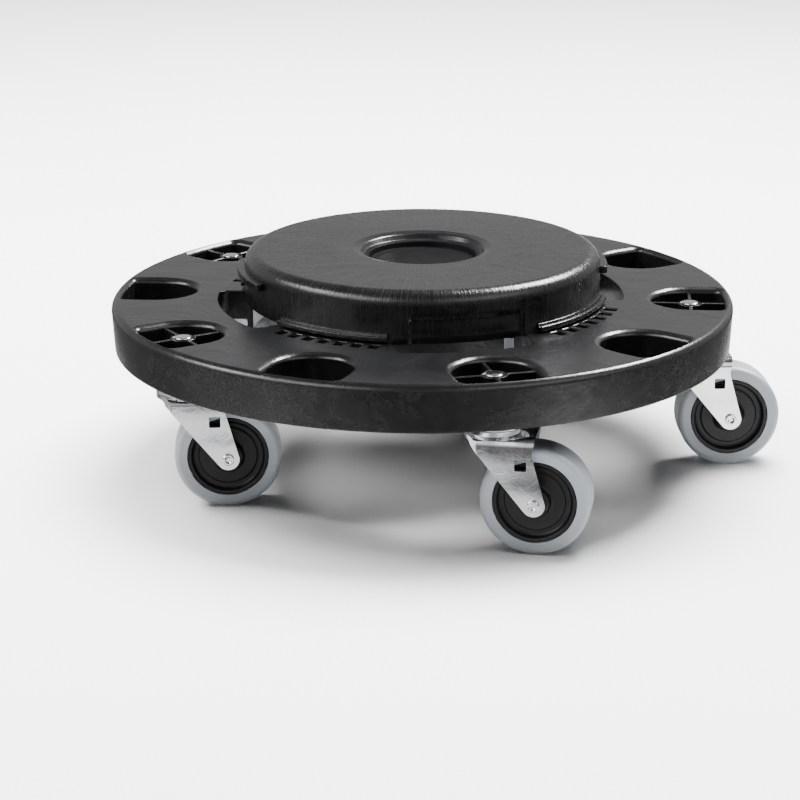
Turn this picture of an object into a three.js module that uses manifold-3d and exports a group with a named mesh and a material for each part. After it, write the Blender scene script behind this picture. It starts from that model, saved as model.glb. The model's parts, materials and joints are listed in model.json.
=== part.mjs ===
// Round twist-lock container dolly: a moulded deck with a raised drum, on five swivel casters.
// Units are millimetres, +Z is up. Heights are written above the ground that the wheels stand on;
// the outermost group then lowers everything so that the origin is the middle of the drum's dish.
import * as THREE from 'three';
import { mergeVertices } from 'three/addons/utils/BufferGeometryUtils.js';
import Module from 'manifold-3d';

const wasm = await Module();
wasm.setup();

// ---- Driving dimensions: the whole dolly ----
const GAP = 0.3;                    // air left between pieces that touch on the real dolly
const WALL = 4.5;                   // wall of the deck moulding
const RIB = 3.5;                    // ribs under the deck
const RIB_COUNT = 10;
const DECK_RIB_BOTTOM = 99;
const DRUM_RIB_BOTTOM = 122;
const DECK_R = 232;
const DECK_TOP = 127;
const SKIRT_BOTTOM = 93;
const SKIRT_DRAFT = 2;              // how much narrower the skirt is at its bottom edge
const RIM_FILLET = 6;
const DRUM_R = 132.5;
const DRUM_TOP = 163;
const DRUM_FILLET = 9;
const RING_INNER_R = DRUM_R + GAP;  // inner edge of the flat ring, round the drum's foot

// ---- The dish in the middle of the drum ----
const DISH_FLOOR = 153;
const DISH_FLOOR_R = 39;
const DISH_STEP = 158;
const DISH_STEP_R = 44;
const DISH_LIP_R = 52;

// ---- Twist-lock features on the drum's wall and round its foot ----
const LUG_R = 138;                  // how far the ledges and lugs stand out
const LEDGE = { bottom: 128.7, top: 131.5, crest: 133.3 };   // a low ledge, highest at the wall
const LEDGES = [
  { from: -139, to: -100.5, windows: -118.5 },
  { from: -52.3, to: -10, windows: -33 },
  { from: 10, to: 78, windows: 57.5 },
  { from: 127, to: 174, windows: 150 },
];
const LUG = { bottom: 146.5, top: 152 };   // a lug high on the wall, over each curved slot
const LUGS = [{ from: 177, to: 210 }, { from: -7, to: 30 }];
const WINDOW_INNER_R = 139.5;       // row of small windows in the deck below each ledge
const WINDOW_OUTER_R = 149.5;
const WINDOW_COUNT = 7;
const WINDOW_PITCH = 5;             // degrees
const WINDOW_WIDTH = 2.7;           // degrees
const CURVED_SLOTS = [{ from: 177, to: 219, r: 153 }, { from: -8, to: 34, r: 150.5 }];
const STRAIGHT_SLOTS = [-78, 102];  // bearings of the two slots with parallel ends
const STRAIGHT_SLOT_R = 156;
const STRAIGHT_SLOT_HALF = 48.5;
const SLOT_DEPTH = 22;
const CURVED_NOTCH_TOP = 127.5;     // underside of the drum's wall beside a curved slot
const HOOP = { r: 88, bottom: 97 };   // ring rib inside the drum, as deep as the drum's wall
const HOOP_NOTCH = { from: -49.7, to: -40.6, top: 114 };
const PANEL = { from: -94.3, to: -57, bottom: 125.5, top: 143, depth: 4.2, slope: 5 };

// ---- Casters ----
const WHEEL_R = 38.1;
const TREAD_HALF_WIDTH = 13.5;
const TREAD_ROUND = 4;
const HUB_R = 29;
const TRAIL = 30;                   // axle behind the swivel axis
const CASTER_CIRCLE_R = 200;
const CASTER_STEP = 72;             // degrees
const CASTERS = [
  { name: 'front', at: -76, trail: -10 },
  { name: 'right', at: -76 + CASTER_STEP, trail: 3 },
  { name: 'rear_right', at: -76 + 2 * CASTER_STEP, trail: 0 },
  { name: 'rear_left', at: -76 + 3 * CASTER_STEP, trail: 0 },
  { name: 'left', at: -76 + 4 * CASTER_STEP, trail: 4.5 },
];

// ---- Pockets in the deck: one over each caster, one midway between ----
const POCKET_HALF_WIDTH = 29;
const POCKET_OUTER_R = 225.5;
const POCKET_FLOOR = 101;
const POCKET_SEAT = 97;             // underside of the pocket floor, where the caster bolts on
const POCKET_RIB_TOP = 123.5;
const POCKET_RIB = 2.4;
const BOSS_R = 9.3;
const BOSS_TOP = 122.3;

// ---- Swivel bearing and king bolt ----
const KING_R = 5;
const KING_HEAD_R = 6;
const KING_HEAD_TOP = 124.6;
const KING_END = 73.3;
const KING_NUT_FLAT = 8.5;          // centre to flat
const KING_NUT_HEIGHT = 4;
const RACE_R = 24;
const RACE_RIM_R = 21.6;
const RACE_RIM_BOTTOM = 90;
const RACE_PLATE = 2.4;
const UPPER_BALL = { ring: 17, r: 2.4 };
const LOWER_BALL = { ring: 11, r: 2.2 };
const DOME_R = 20.6;
const DOME_TOP = 88.8;

// ---- Fork and axle ----
const STEEL = 2.8;                  // fork sheet
const LEG_INSIDE = 17.3;            // inner face of a leg from the wheel's middle plane
const LEG_TIP_R = 8;
const CROWN_TOP = 85;
const CROWN_BACK_X = 27;            // trailing edge of the crown, from the swivel axis
const CROWN_FRONT_X = -16;
const AXLE_R = 3;
const AXLE_HEAD_R = 4.2;
const AXLE_HEAD = 1.8;
const NUT_FLAT = 5;
const NUT_HEIGHT = 5;
const BUSH_R = 6;
const HUB_BOSS_HALF = 16.2;
const HUB_RIM_HALF = 12.8;
const HUB_WEB_HALF = 8;
const WINDOW = { size: 8, back: -9, up: 28 };   // square hole in each leg, from the axle

// ---- How finely round shapes are cut ----
const DECK_SEGMENTS = 50;
const WHEEL_SEGMENTS = 32;
const RACE_SEGMENTS = 16;
const SMALL_SEGMENTS = 12;

const rad = THREE.MathUtils.degToRad;

// ---- Solids ----
function toSolid(geometry) {
  const bare = geometry.clone();
  bare.deleteAttribute('normal');
  bare.deleteAttribute('uv');
  const merged = mergeVertices(bare, 1e-4);
  const vertProperties = new Float32Array(merged.attributes.position.array);
  const triVerts = new Uint32Array(merged.index.array);
  return new wasm.Manifold(new wasm.Mesh({ numProp: 3, vertProperties, triVerts }));
}

function toGeometry(solid) {
  const mesh = solid.getMesh();
  const geometry = new THREE.BufferGeometry();
  geometry.setAttribute('position', new THREE.BufferAttribute(new Float32Array(mesh.vertProperties), 3));
  geometry.setIndex(new THREE.BufferAttribute(new Uint32Array(mesh.triVerts), 1));
  return geometry;
}

// Turns a closed outline of [radius, height] points about Z. Points run anticlockwise.
function turned(points, segments) {
  const outline = points.map(([r, z]) => new THREE.Vector2(r, z));
  return new THREE.LatheGeometry(outline, segments).rotateX(Math.PI / 2);
}

function closed(points) {
  return [...points, points[0]];
}

function turnedSolid(points, segments) {
  return toSolid(turned(points, segments));
}

// Points of a quarter round about (r, z) from one angle to another, in degrees.
function arc(r, z, radius, from, to, steps) {
  const points = [];
  for (let i = 0; i <= steps; i += 1) {
    const a = rad(from + ((to - from) * i) / steps);
    points.push([r + radius * Math.cos(a), z + radius * Math.sin(a)]);
  }
  return points;
}

// Radius of a hole cut with flat facets that still clears a round of radius r by GAP.
function clearOf(r, segments) {
  return (r + GAP) / Math.cos(Math.PI / segments);
}

function upright(shape, bottom, top, curveSegments = 12) {
  const settings = { depth: top - bottom, bevelEnabled: false, curveSegments };
  return toSolid(new THREE.ExtrudeGeometry(shape, settings).translate(0, 0, bottom));
}

function block(x0, x1, y0, y1, z0, z1) {
  const box = new THREE.BoxGeometry(x1 - x0, y1 - y0, z1 - z0);
  return toSolid(box.translate((x0 + x1) / 2, (y0 + y1) / 2, (z0 + z1) / 2));
}

function round(r, bottom, top, segments = SMALL_SEGMENTS) {
  const cylinder = new THREE.CylinderGeometry(r, r, top - bottom, segments).rotateX(Math.PI / 2);
  return toSolid(cylinder.translate(0, 0, (bottom + top) / 2));
}

// A slice of the plan between two bearings, out to a radius.
function wedge(from, to, outer, bottom, top) {
  const shape = new THREE.Shape();
  const steps = Math.max(2, Math.ceil((to - from) / 5));
  shape.moveTo(0, 0);
  for (let i = 0; i <= steps; i += 1) {
    const a = rad(from + ((to - from) * i) / steps);
    shape.lineTo(outer * Math.cos(a), outer * Math.sin(a));
  }
  shape.closePath();
  return upright(shape, bottom, top);
}

function turnedSector(points, from, to) {
  const reach = 2 * DECK_R;
  return turnedSolid(closed(points), DECK_SEGMENTS).intersect(wedge(from, to, reach, 0, 2 * DRUM_TOP));
}

function joined(solids) {
  return solids.reduce((all, solid) => all.add(solid));
}

function spun(solid, degrees) {
  return solid.rotate([0, 0, degrees]);
}

// ---- The deck moulding: the flat ring with its skirt, and the drum that rises through its middle.
// They are two nodes, because a container's base slides over the drum and stands on the ring. ----
function ringShell() {
  const skirtFoot = DECK_R - SKIRT_DRAFT;
  return turnedSolid(closed([
    [skirtFoot - WALL, SKIRT_BOTTOM],
    [skirtFoot, SKIRT_BOTTOM],
    ...arc(DECK_R - RIM_FILLET, DECK_TOP - RIM_FILLET, RIM_FILLET, 0, 90, 3),
    [RING_INNER_R, DECK_TOP],
    [RING_INNER_R, DECK_TOP - WALL],
    [DECK_R - RIM_FILLET, DECK_TOP - WALL],
    [DECK_R - WALL - 0.5, DECK_TOP - RIM_FILLET],
  ]), DECK_SEGMENTS);
}

function drumShell() {
  const outside = [
    [DRUM_R, POCKET_SEAT],
    ...arc(DRUM_R - DRUM_FILLET, DRUM_TOP - DRUM_FILLET, DRUM_FILLET, 0, 90, 3),
    [DISH_LIP_R, DRUM_TOP],
    [DISH_STEP_R + 1.5, DRUM_TOP - 1.5],
    [DISH_STEP_R, DISH_STEP],
    [DISH_FLOOR_R + 1.5, DISH_STEP - 0.5],
    [DISH_FLOOR_R, DISH_FLOOR],
    [0, DISH_FLOOR],
  ];
  const inside = [
    [0, DISH_FLOOR - WALL],
    [DISH_STEP_R, DISH_FLOOR - WALL],
    [DISH_STEP_R + WALL + 1, DRUM_TOP - WALL],
    ...arc(DRUM_R - DRUM_FILLET, DRUM_TOP - DRUM_FILLET, DRUM_FILLET - WALL, 90, 0, 1),
    [DRUM_R - WALL, POCKET_SEAT],
    [DRUM_R, POCKET_SEAT],
  ];
  return turnedSolid([...outside, ...inside], DECK_SEGMENTS);
}

// The pocket's plan: a half round towards the drum, straight sides out to the rim.
function pocketPlan(margin, bottom, top) {
  const half = POCKET_HALF_WIDTH + margin;
  const shape = new THREE.Shape();
  shape.moveTo(DECK_R + 10, half);
  shape.lineTo(CASTER_CIRCLE_R, half);
  shape.absarc(CASTER_CIRCLE_R, 0, half, Math.PI / 2, -Math.PI / 2, false);
  shape.lineTo(DECK_R + 10, -half);
  shape.closePath();
  const disc = round(POCKET_OUTER_R + Math.min(margin, 2), bottom - 1, top + 1, DECK_SEGMENTS);
  return upright(shape, bottom, top, 8).intersect(disc);
}

function casterPocketRibs() {
  const reach = POCKET_HALF_WIDTH + 1;
  const inner = CASTER_CIRCLE_R - reach;
  const half = POCKET_RIB / 2;
  const radial = block(inner, POCKET_OUTER_R + 1, -half, half, POCKET_FLOOR - 1, POCKET_RIB_TOP);
  const across = block(CASTER_CIRCLE_R - half, CASTER_CIRCLE_R + half, -reach, reach,
    POCKET_FLOOR - 1, POCKET_RIB_TOP);
  const clearing = round(BOSS_R, BOSS_TOP, DECK_TOP, SMALL_SEGMENTS).translate([CASTER_CIRCLE_R, 0, 0]);
  const boss = round(BOSS_R, POCKET_FLOOR - 1, BOSS_TOP).translate([CASTER_CIRCLE_R, 0, 0]);
  return radial.add(across).subtract(clearing).add(boss);
}

function addPockets(deck) {
  let result = deck;
  const cup = pocketPlan(WALL - 0.5, POCKET_SEAT, DECK_TOP - 1);
  const hollow = pocketPlan(0, POCKET_FLOOR, DECK_TOP + 10);
  const ribs = casterPocketRibs();
  const bore = round(clearOf(KING_R, SMALL_SEGMENTS), 0, DECK_TOP).translate([CASTER_CIRCLE_R, 0, 0]);
  for (const caster of CASTERS) {
    const between = caster.at + CASTER_STEP / 2;
    result = result.add(spun(cup, caster.at)).add(spun(cup, between));
    result = result.subtract(spun(hollow, caster.at)).subtract(spun(hollow, between));
    result = result.add(spun(ribs, caster.at)).subtract(spun(bore, caster.at));
  }
  return result;
}

function spokes(spoke) {
  const ribs = [];
  for (let i = 0; i < RIB_COUNT; i += 1) {
    ribs.push(spun(spoke, CASTERS[0].at + CASTER_STEP / 4 + (i * 360) / RIB_COUNT));
  }
  return joined(ribs);
}

function ringRibs() {
  const outerEnd = DECK_R - WALL - 2;
  const rib = block(RING_INNER_R, outerEnd, -RIB / 2, RIB / 2, DECK_RIB_BOTTOM, DECK_TOP - 1.5);
  return spokes(rib).subtract(round(RING_INNER_R, 0, DECK_TOP, DECK_SEGMENTS));
}

function drumRibs() {
  const top = DRUM_TOP - 1;
  const spoke = block(DISH_STEP_R - 1, DRUM_R - 1, -RIB / 2, RIB / 2, DRUM_RIB_BOTTOM, top);
  const outer = HOOP.r + RIB;
  const hoop = closed([[HOOP.r, HOOP.bottom], [outer, HOOP.bottom], [outer, top], [HOOP.r, top]]);
  const notch = turnedSector([
    [HOOP.r - 1, 0], [outer + 1, 0], [outer + 1, HOOP_NOTCH.top], [HOOP.r - 1, HOOP_NOTCH.top],
  ], HOOP_NOTCH.from, HOOP_NOTCH.to);
  return spokes(spoke).add(turnedSolid(hoop, DECK_SEGMENTS)).subtract(notch).subtract(aboveDrum());
}

// Everything above the middle of the drum's own walls, which ribs must not poke through.
function aboveDrum() {
  return turnedSolid([
    [0, DISH_FLOOR - 1],
    [DISH_STEP_R + 1, DISH_FLOOR - 1],
    [DISH_STEP_R + 3, DRUM_TOP - 1.5],
    [DRUM_R - DRUM_FILLET, DRUM_TOP - 1.5],
    [DRUM_R - 1.5, DRUM_TOP - DRUM_FILLET],
    [DRUM_R - 1.5, 0],
    [2 * DECK_R, 0],
    [2 * DECK_R, 2 * DRUM_TOP],
    [0, 2 * DRUM_TOP],
  ], DECK_SEGMENTS);
}

// Plan of a slot round the drum's foot: a sector, or a band with parallel ends.
function curvedSlot(slot, inner, outer, bottom, top) {
  const ring = [[inner, bottom], [outer, bottom], [outer, top], [inner, top]];
  const extra = THREE.MathUtils.radToDeg((outer - slot.r) / slot.r);
  return turnedSector(ring, slot.from - extra, slot.to + extra);
}

function straightSlot(at, inner, outer, bottom, top) {
  const half = STRAIGHT_SLOT_HALF + Math.max(0, outer - STRAIGHT_SLOT_R);
  const side = [[inner, bottom], [outer, bottom], [outer, top], [inner, top]];
  const ring = turnedSolid(closed(side), DECK_SEGMENTS);
  return spun(block(0, DECK_R, -half, half, bottom, top), at).intersect(spun(ring, at));
}

// Each slot goes right through the ring, with a short wall hanging from its outer edge.
function addSlots(ring) {
  const foot = DECK_TOP - SLOT_DEPTH;
  const walls = [];
  const holes = [];
  for (const slot of CURVED_SLOTS) {
    walls.push(curvedSlot(slot, RING_INNER_R, slot.r + WALL, foot, DECK_TOP - 1));
    holes.push(curvedSlot(slot, DRUM_R - 1, slot.r, 0, DECK_TOP + 1));
  }
  for (const at of STRAIGHT_SLOTS) {
    walls.push(straightSlot(at, RING_INNER_R, STRAIGHT_SLOT_R + WALL, foot, DECK_TOP - 1));
    holes.push(straightSlot(at, DRUM_R - 1, STRAIGHT_SLOT_R, 0, DECK_TOP + 1));
  }
  return ring.add(joined(walls)).subtract(joined(holes));
}

// Beside each slot the drum's wall stops at the ring's top or just above it.
function cutDrumWall(drum) {
  const inner = DRUM_R - WALL - 6;
  const outer = DRUM_R + 1;
  const notches = [];
  for (const at of STRAIGHT_SLOTS) {
    notches.push(straightSlot(at, inner, outer, 0, PANEL.bottom));
  }
  for (const { from, to } of CURVED_SLOTS) {
    const side = [[inner, 0], [outer, 0], [outer, CURVED_NOTCH_TOP], [inner, CURVED_NOTCH_TOP]];
    notches.push(turnedSector(side, from, to));
  }
  return drum.subtract(joined(notches));
}

function ledge({ from, to }) {
  const inner = DRUM_R - 1;
  return turnedSector([
    [inner, LEDGE.bottom],
    [LUG_R, LEDGE.bottom],
    [LUG_R, LEDGE.top],
    [inner, LEDGE.crest],
  ], from, to);
}

function lug({ from, to }) {
  const inner = DRUM_R - 1;
  return turnedSector([
    [inner, LUG.bottom],
    [LUG_R, LUG.bottom],
    [LUG_R, LUG.top],
    [inner, LUG.top],
  ], from, to);
}

function windowRow(centre) {
  const chord = (WINDOW_INNER_R + WINDOW_OUTER_R) / 2 * rad(WINDOW_WIDTH) / 2;
  const hole = block(WINDOW_INNER_R, WINDOW_OUTER_R, -chord, chord, DECK_TOP - WALL - 2, DECK_TOP + 1);
  const first = centre - (WINDOW_PITCH * (WINDOW_COUNT - 1)) / 2;
  const row = [];
  for (let i = 0; i < WINDOW_COUNT; i += 1) {
    row.push(spun(hole, first + i * WINDOW_PITCH));
  }
  return joined(row);
}

function windows() {
  return joined(LEDGES.map((each) => windowRow(each.windows)));
}

// The shallow sunk panel in the drum's wall, with its wall thickened behind it.
function addPanel(drum) {
  const back = DRUM_R - PANEL.depth;
  const backing = turnedSector([
    [back - WALL, PANEL.bottom - 10], [DRUM_R - 1, PANEL.bottom - 10],
    [DRUM_R - 1, PANEL.top + 10], [back - WALL, PANEL.top + 10],
  ], PANEL.from - 2, PANEL.to + 2);
  const recess = turnedSector([
    [back, PANEL.bottom], [DRUM_R + 5, PANEL.bottom],
    [DRUM_R + 5, PANEL.top + PANEL.slope + 5], [back, PANEL.top],
  ], PANEL.from, PANEL.to);
  return drum.add(backing).subtract(recess);
}

function buildDeck() {
  const shell = ringShell().add(ringRibs());
  return toGeometry(addSlots(addPockets(shell)).subtract(windows()));
}

function buildDrum() {
  const shell = drumShell().add(drumRibs());
  const catches = joined([...LEDGES.map(ledge), ...LUGS.map(lug)]);
  return toGeometry(addPanel(cutDrumWall(shell)).add(catches));
}

// ---- Caster pieces, each about its own swivel axis, with the axle towards +X ----
function buildKingBolt() {
  return turned([
    [0, KING_END],
    [KING_R - 1, KING_END],
    [KING_R, KING_END + 1],
    [KING_R, BOSS_TOP + GAP],
    [KING_HEAD_R, BOSS_TOP + GAP],
    [KING_HEAD_R, KING_HEAD_TOP - 0.8],
    [KING_HEAD_R - 1.4, KING_HEAD_TOP],
    [0, KING_HEAD_TOP],
  ], SMALL_SEGMENTS);
}

function hexagon(flat) {
  const corner = flat / Math.cos(Math.PI / 6);
  const shape = new THREE.Shape();
  for (let i = 0; i < 6; i += 1) {
    const a = (i * Math.PI) / 3;
    shape.lineTo(corner * Math.cos(a), corner * Math.sin(a));
  }
  shape.closePath();
  return shape;
}

// Flanged nut under the fork: its flange is the lower ball race.
function buildKingNut() {
  const top = CROWN_TOP - STEEL - GAP - 1.3;
  const flange = round(LOWER_BALL.ring + LOWER_BALL.r, top - 2.2, top);
  const hex = upright(hexagon(KING_NUT_FLAT), top - 2.2 - KING_NUT_HEIGHT, top - 1);
  return toGeometry(flange.add(hex).subtract(round(clearOf(KING_R, SMALL_SEGMENTS), 0, DECK_TOP)));
}

function buildTopRace() {
  const top = POCKET_SEAT - GAP;
  const bore = clearOf(KING_R, RACE_SEGMENTS);
  return turned(closed([
    [bore, top - RACE_PLATE],
    [RACE_RIM_R, top - RACE_PLATE],
    [RACE_RIM_R, RACE_RIM_BOTTOM],
    [RACE_R, RACE_RIM_BOTTOM],
    [RACE_R, top],
    [bore, top],
  ]), RACE_SEGMENTS);
}

function ballRing(ball, z) {
  return turned(closed(arc(ball.ring, z, ball.r, 0, 300, 5)), SMALL_SEGMENTS + 2);
}

function buildUpperBalls() {
  return ballRing(UPPER_BALL, POCKET_SEAT - GAP - RACE_PLATE - GAP - UPPER_BALL.r);
}

function buildLowerBalls() {
  return ballRing(LOWER_BALL, CROWN_TOP - STEEL - 1.3 + LOWER_BALL.r);
}

// One leg's outline: round foot at the axle, straight edges up to the crown.
function legOutline() {
  const shape = new THREE.Shape();
  shape.moveTo(CROWN_FRONT_X, CROWN_TOP - 1);
  shape.absarc(TRAIL, WHEEL_R, LEG_TIP_R, rad(215), rad(372), false);
  shape.lineTo(CROWN_BACK_X, CROWN_TOP - 1);
  shape.closePath();
  return shape;
}

function leg(side) {
  const sheet = { depth: STEEL, bevelEnabled: false, curveSegments: 6 };
  const plate = new THREE.ExtrudeGeometry(legOutline(), sheet);
  plate.rotateX(Math.PI / 2);
  const outer = side > 0 ? LEG_INSIDE + STEEL : -LEG_INSIDE;
  const solid = toSolid(plate.translate(0, outer, 0));
  const { size, back, up } = WINDOW;
  const x = TRAIL + back;
  const z = WHEEL_R + up;
  const y = side * (LEG_INSIDE + STEEL / 2);
  const hole = block(x - size / 2, x + size / 2, y - 5, y + 5, z - size / 2, z + size / 2);
  return solid.subtract(hole);
}

function buildFork() {
  const width = LEG_INSIDE + STEEL;
  const crown = block(CROWN_FRONT_X, CROWN_BACK_X, -width, width, CROWN_TOP - STEEL, CROWN_TOP);
  const nose = round(width, CROWN_TOP - STEEL, CROWN_TOP, RACE_SEGMENTS);
  const dome = turnedSolid([
    [0, CROWN_TOP - STEEL],
    [DOME_R, CROWN_TOP - STEEL],
    [DOME_R, DOME_TOP - 1],
    [DOME_R - 1.5, DOME_TOP],
    [0, DOME_TOP],
  ], RACE_SEGMENTS);
  const seatR = clearOf(LOWER_BALL.ring + LOWER_BALL.r, RACE_SEGMENTS);
  const seat = round(seatR, 0, DOME_TOP - STEEL, RACE_SEGMENTS);
  const bore = round(KING_R + 1, 0, DECK_TOP);
  const pinR = clearOf(AXLE_R, SMALL_SEGMENTS);
  const pin = toSolid(onAxle(new THREE.CylinderGeometry(pinR, pinR, 4 * width, SMALL_SEGMENTS)
    .rotateX(Math.PI / 2)));
  const solid = crown.add(nose).add(dome).add(leg(1)).add(leg(-1));
  return toGeometry(solid.subtract(seat).subtract(bore).subtract(pin));
}

// ---- Pieces on the axle: turned about Z, then laid along Y at the axle ----
function onAxle(geometry) {
  return geometry.rotateX(Math.PI / 2).translate(TRAIL, 0, WHEEL_R);
}

function buildAxle() {
  const outside = LEG_INSIDE + STEEL + GAP;
  return onAxle(turned([
    [0, -outside - NUT_HEIGHT - 1],
    [AXLE_R, -outside - NUT_HEIGHT - 1],
    [AXLE_R, outside],
    [AXLE_HEAD_R, outside],
    [AXLE_HEAD_R, outside + AXLE_HEAD - 0.7],
    [AXLE_HEAD_R - 1.4, outside + AXLE_HEAD],
    [0, outside + AXLE_HEAD],
  ], SMALL_SEGMENTS));
}

function buildAxleNut() {
  const outside = LEG_INSIDE + STEEL + GAP;
  const nut = upright(hexagon(NUT_FLAT), -outside - NUT_HEIGHT, -outside);
  const bored = nut.subtract(round(clearOf(AXLE_R, SMALL_SEGMENTS), -2 * outside, 2 * outside));
  return onAxle(toGeometry(bored));
}

function buildBush() {
  const half = LEG_INSIDE - GAP;
  const bore = clearOf(AXLE_R, SMALL_SEGMENTS);
  return onAxle(turned(closed([
    [bore, -half],
    [BUSH_R, -half],
    [BUSH_R, half],
    [bore, half],
  ]), SMALL_SEGMENTS));
}

function buildHub() {
  const rim = HUB_R - GAP;
  const flank = [
    [clearOf(BUSH_R, RACE_SEGMENTS), HUB_BOSS_HALF],
    [BUSH_R + 5, HUB_BOSS_HALF],
    [BUSH_R + 6, HUB_WEB_HALF],
    [rim - 4, HUB_WEB_HALF],
    [rim - 3, HUB_RIM_HALF],
    [rim, HUB_RIM_HALF],
  ];
  const mirrored = flank.map(([r, y]) => [r, -y]);
  return onAxle(turned(closed([...mirrored, ...flank.slice().reverse()]), RACE_SEGMENTS));
}

function buildTread() {
  const side = TREAD_HALF_WIDTH;
  const crown = WHEEL_R;
  const bore = clearOf(HUB_R - GAP, WHEEL_SEGMENTS);
  return onAxle(turned(closed([
    [bore, -side],
    [crown - TREAD_ROUND, -side],
    [crown, -side + TREAD_ROUND],
    [crown, side - TREAD_ROUND],
    [crown - TREAD_ROUND, side],
    [bore, side],
  ]), WHEEL_SEGMENTS));
}

// ---- Materials ----
function material(color, roughness, metalness) {
  return new THREE.MeshStandardMaterial({ color, roughness, metalness });
}

const deckPlastic = () => material(0x26272a, 0.5, 0);
const hubPlastic = () => material(0x1c1d20, 0.45, 0);
const treadRubber = () => material(0x9a9ca0, 0.7, 0);
const zinc = () => material(0xc9ccd1, 0.28, 1);
const bearingSteel = () => material(0xaeb2b8, 0.2, 1);

// ---- Assembly ----
const dolly = new THREE.Group();
dolly.position.z = -DISH_FLOOR;

function put(group, name, geometry, finish) {
  const mesh = new THREE.Mesh(geometry, finish);
  mesh.name = name;
  group.add(mesh);
}

put(dolly, 'deck', buildDeck(), deckPlastic());
put(dolly, 'drum', buildDrum(), deckPlastic());

const casterPieces = [
  ['king_bolt', buildKingBolt(), zinc],
  ['king_nut', buildKingNut(), zinc],
  ['top_race', buildTopRace(), zinc],
  ['upper_balls', buildUpperBalls(), bearingSteel],
  ['lower_balls', buildLowerBalls(), bearingSteel],
  ['fork', buildFork(), zinc],
  ['axle', buildAxle(), zinc],
  ['axle_nut', buildAxleNut(), zinc],
  ['bush', buildBush(), bearingSteel],
  ['hub', buildHub(), hubPlastic],
  ['tread', buildTread(), treadRubber],
];

for (const caster of CASTERS) {
  const place = new THREE.Group();
  const bearing = rad(caster.at);
  place.position.set(CASTER_CIRCLE_R * Math.cos(bearing), CASTER_CIRCLE_R * Math.sin(bearing), 0);
  place.rotation.z = rad(caster.trail);
  for (const [piece, geometry, finish] of casterPieces) {
    put(place, `${caster.name}_${piece}`, geometry, finish());
  }
  dolly.add(place);
}

export default dolly;
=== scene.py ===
import json
import math

import bmesh
import bpy
from mathutils import Matrix, Vector


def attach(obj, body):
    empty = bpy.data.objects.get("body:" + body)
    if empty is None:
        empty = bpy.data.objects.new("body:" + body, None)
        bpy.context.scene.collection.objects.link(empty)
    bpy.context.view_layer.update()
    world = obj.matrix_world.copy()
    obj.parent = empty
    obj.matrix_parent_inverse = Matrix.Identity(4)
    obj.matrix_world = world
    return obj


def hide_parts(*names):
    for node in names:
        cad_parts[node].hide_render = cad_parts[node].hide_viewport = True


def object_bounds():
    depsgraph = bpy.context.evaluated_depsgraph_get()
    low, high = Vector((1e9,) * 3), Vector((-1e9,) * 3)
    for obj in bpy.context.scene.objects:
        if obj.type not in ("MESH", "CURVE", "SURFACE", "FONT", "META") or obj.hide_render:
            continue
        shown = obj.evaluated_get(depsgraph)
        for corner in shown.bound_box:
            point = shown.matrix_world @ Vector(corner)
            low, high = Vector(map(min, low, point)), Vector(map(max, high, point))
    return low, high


# Round twist-lock container dolly. Every mesh is built in millimetres above the ground the
# wheels stand on, about the middle of the deck (or about a caster's swivel axis), and is then
# brought into the row frame, whose origin is the middle of the drum's dish.

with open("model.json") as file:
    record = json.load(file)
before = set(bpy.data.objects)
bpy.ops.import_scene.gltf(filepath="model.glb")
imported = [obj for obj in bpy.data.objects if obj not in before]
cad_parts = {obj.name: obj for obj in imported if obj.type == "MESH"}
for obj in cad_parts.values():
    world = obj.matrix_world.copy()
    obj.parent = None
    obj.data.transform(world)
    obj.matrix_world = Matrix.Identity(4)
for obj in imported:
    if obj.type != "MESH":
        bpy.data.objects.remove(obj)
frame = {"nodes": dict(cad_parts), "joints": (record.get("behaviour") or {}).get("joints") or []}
cad_low, cad_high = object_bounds()
GROUND = cad_low.z
MM = 0.001

# ---- Driving dimensions (millimetres, degrees) ----
# As in the CAD, but for a rounder shoulder on the drum and a shallower, softer sunk panel.
GAP = 0.3
OVERLAP = 1.5                       # how far solids that become one run into each other
WALL = 4.5
RIB = 3.5
RIB_COUNT = 10
DECK_R = 232
DECK_TOP = 127
SKIRT_BOTTOM = 93
SKIRT_DRAFT = 2
RIM_FILLET = 5
DECK_RIB_BOTTOM = 99
DRUM_R = 132.5
DRUM_TOP = 163
DRUM_FILLET = 10
DRUM_RIB_BOTTOM = 122
DISH_FLOOR = 153
DISH_FLOOR_R = 39
DISH_STEP = 158
DISH_STEP_R = 44
DISH_LIP_R = 52
LUG_R = 138
LUG_BOTTOM = 146.5
LUG_TOP = 152
LUGS = [(177, 210), (-7, 30)]
LEDGE_BOTTOM = 128.7
LEDGE_FLOOR = 2.5                   # heights of the ledge's parts above its bottom
LEDGE_EDGE_RIB = 3.4
LEDGE_WALL_RIB = 4.8
LEDGES = [(-139, -100.5, -118.5), (-52.3, -10, -33), (10, 78, 57.5), (127, 174, 150)]
WINDOW_INNER_R = 139.5
WINDOW_OUTER_R = 149.5
WINDOW_COUNT = 7
WINDOW_PITCH = 5
WINDOW_WIDTH = 2.7
WINDOW_CORNER = 0.8
CURVED_SLOTS = [(177, 219, 153), (-8, 34, 150.5)]
STRAIGHT_SLOTS = [-78, 102]
STRAIGHT_SLOT_R = 156
STRAIGHT_SLOT_HALF = 48.5
SLOT_DEPTH = 22
CURVED_NOTCH_TOP = 127.5
HOOP_R = 88
HOOP_NOTCH_FROM = -49.7
HOOP_NOTCH_TO = -40.6
HOOP_NOTCH_TOP = 114
PANEL_FROM = -94.3
PANEL_TO = -57
PANEL_BOTTOM = 125.5
PANEL_TOP = 143
PANEL_DEPTH = 3.4
PANEL_SLOPE = 8

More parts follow.
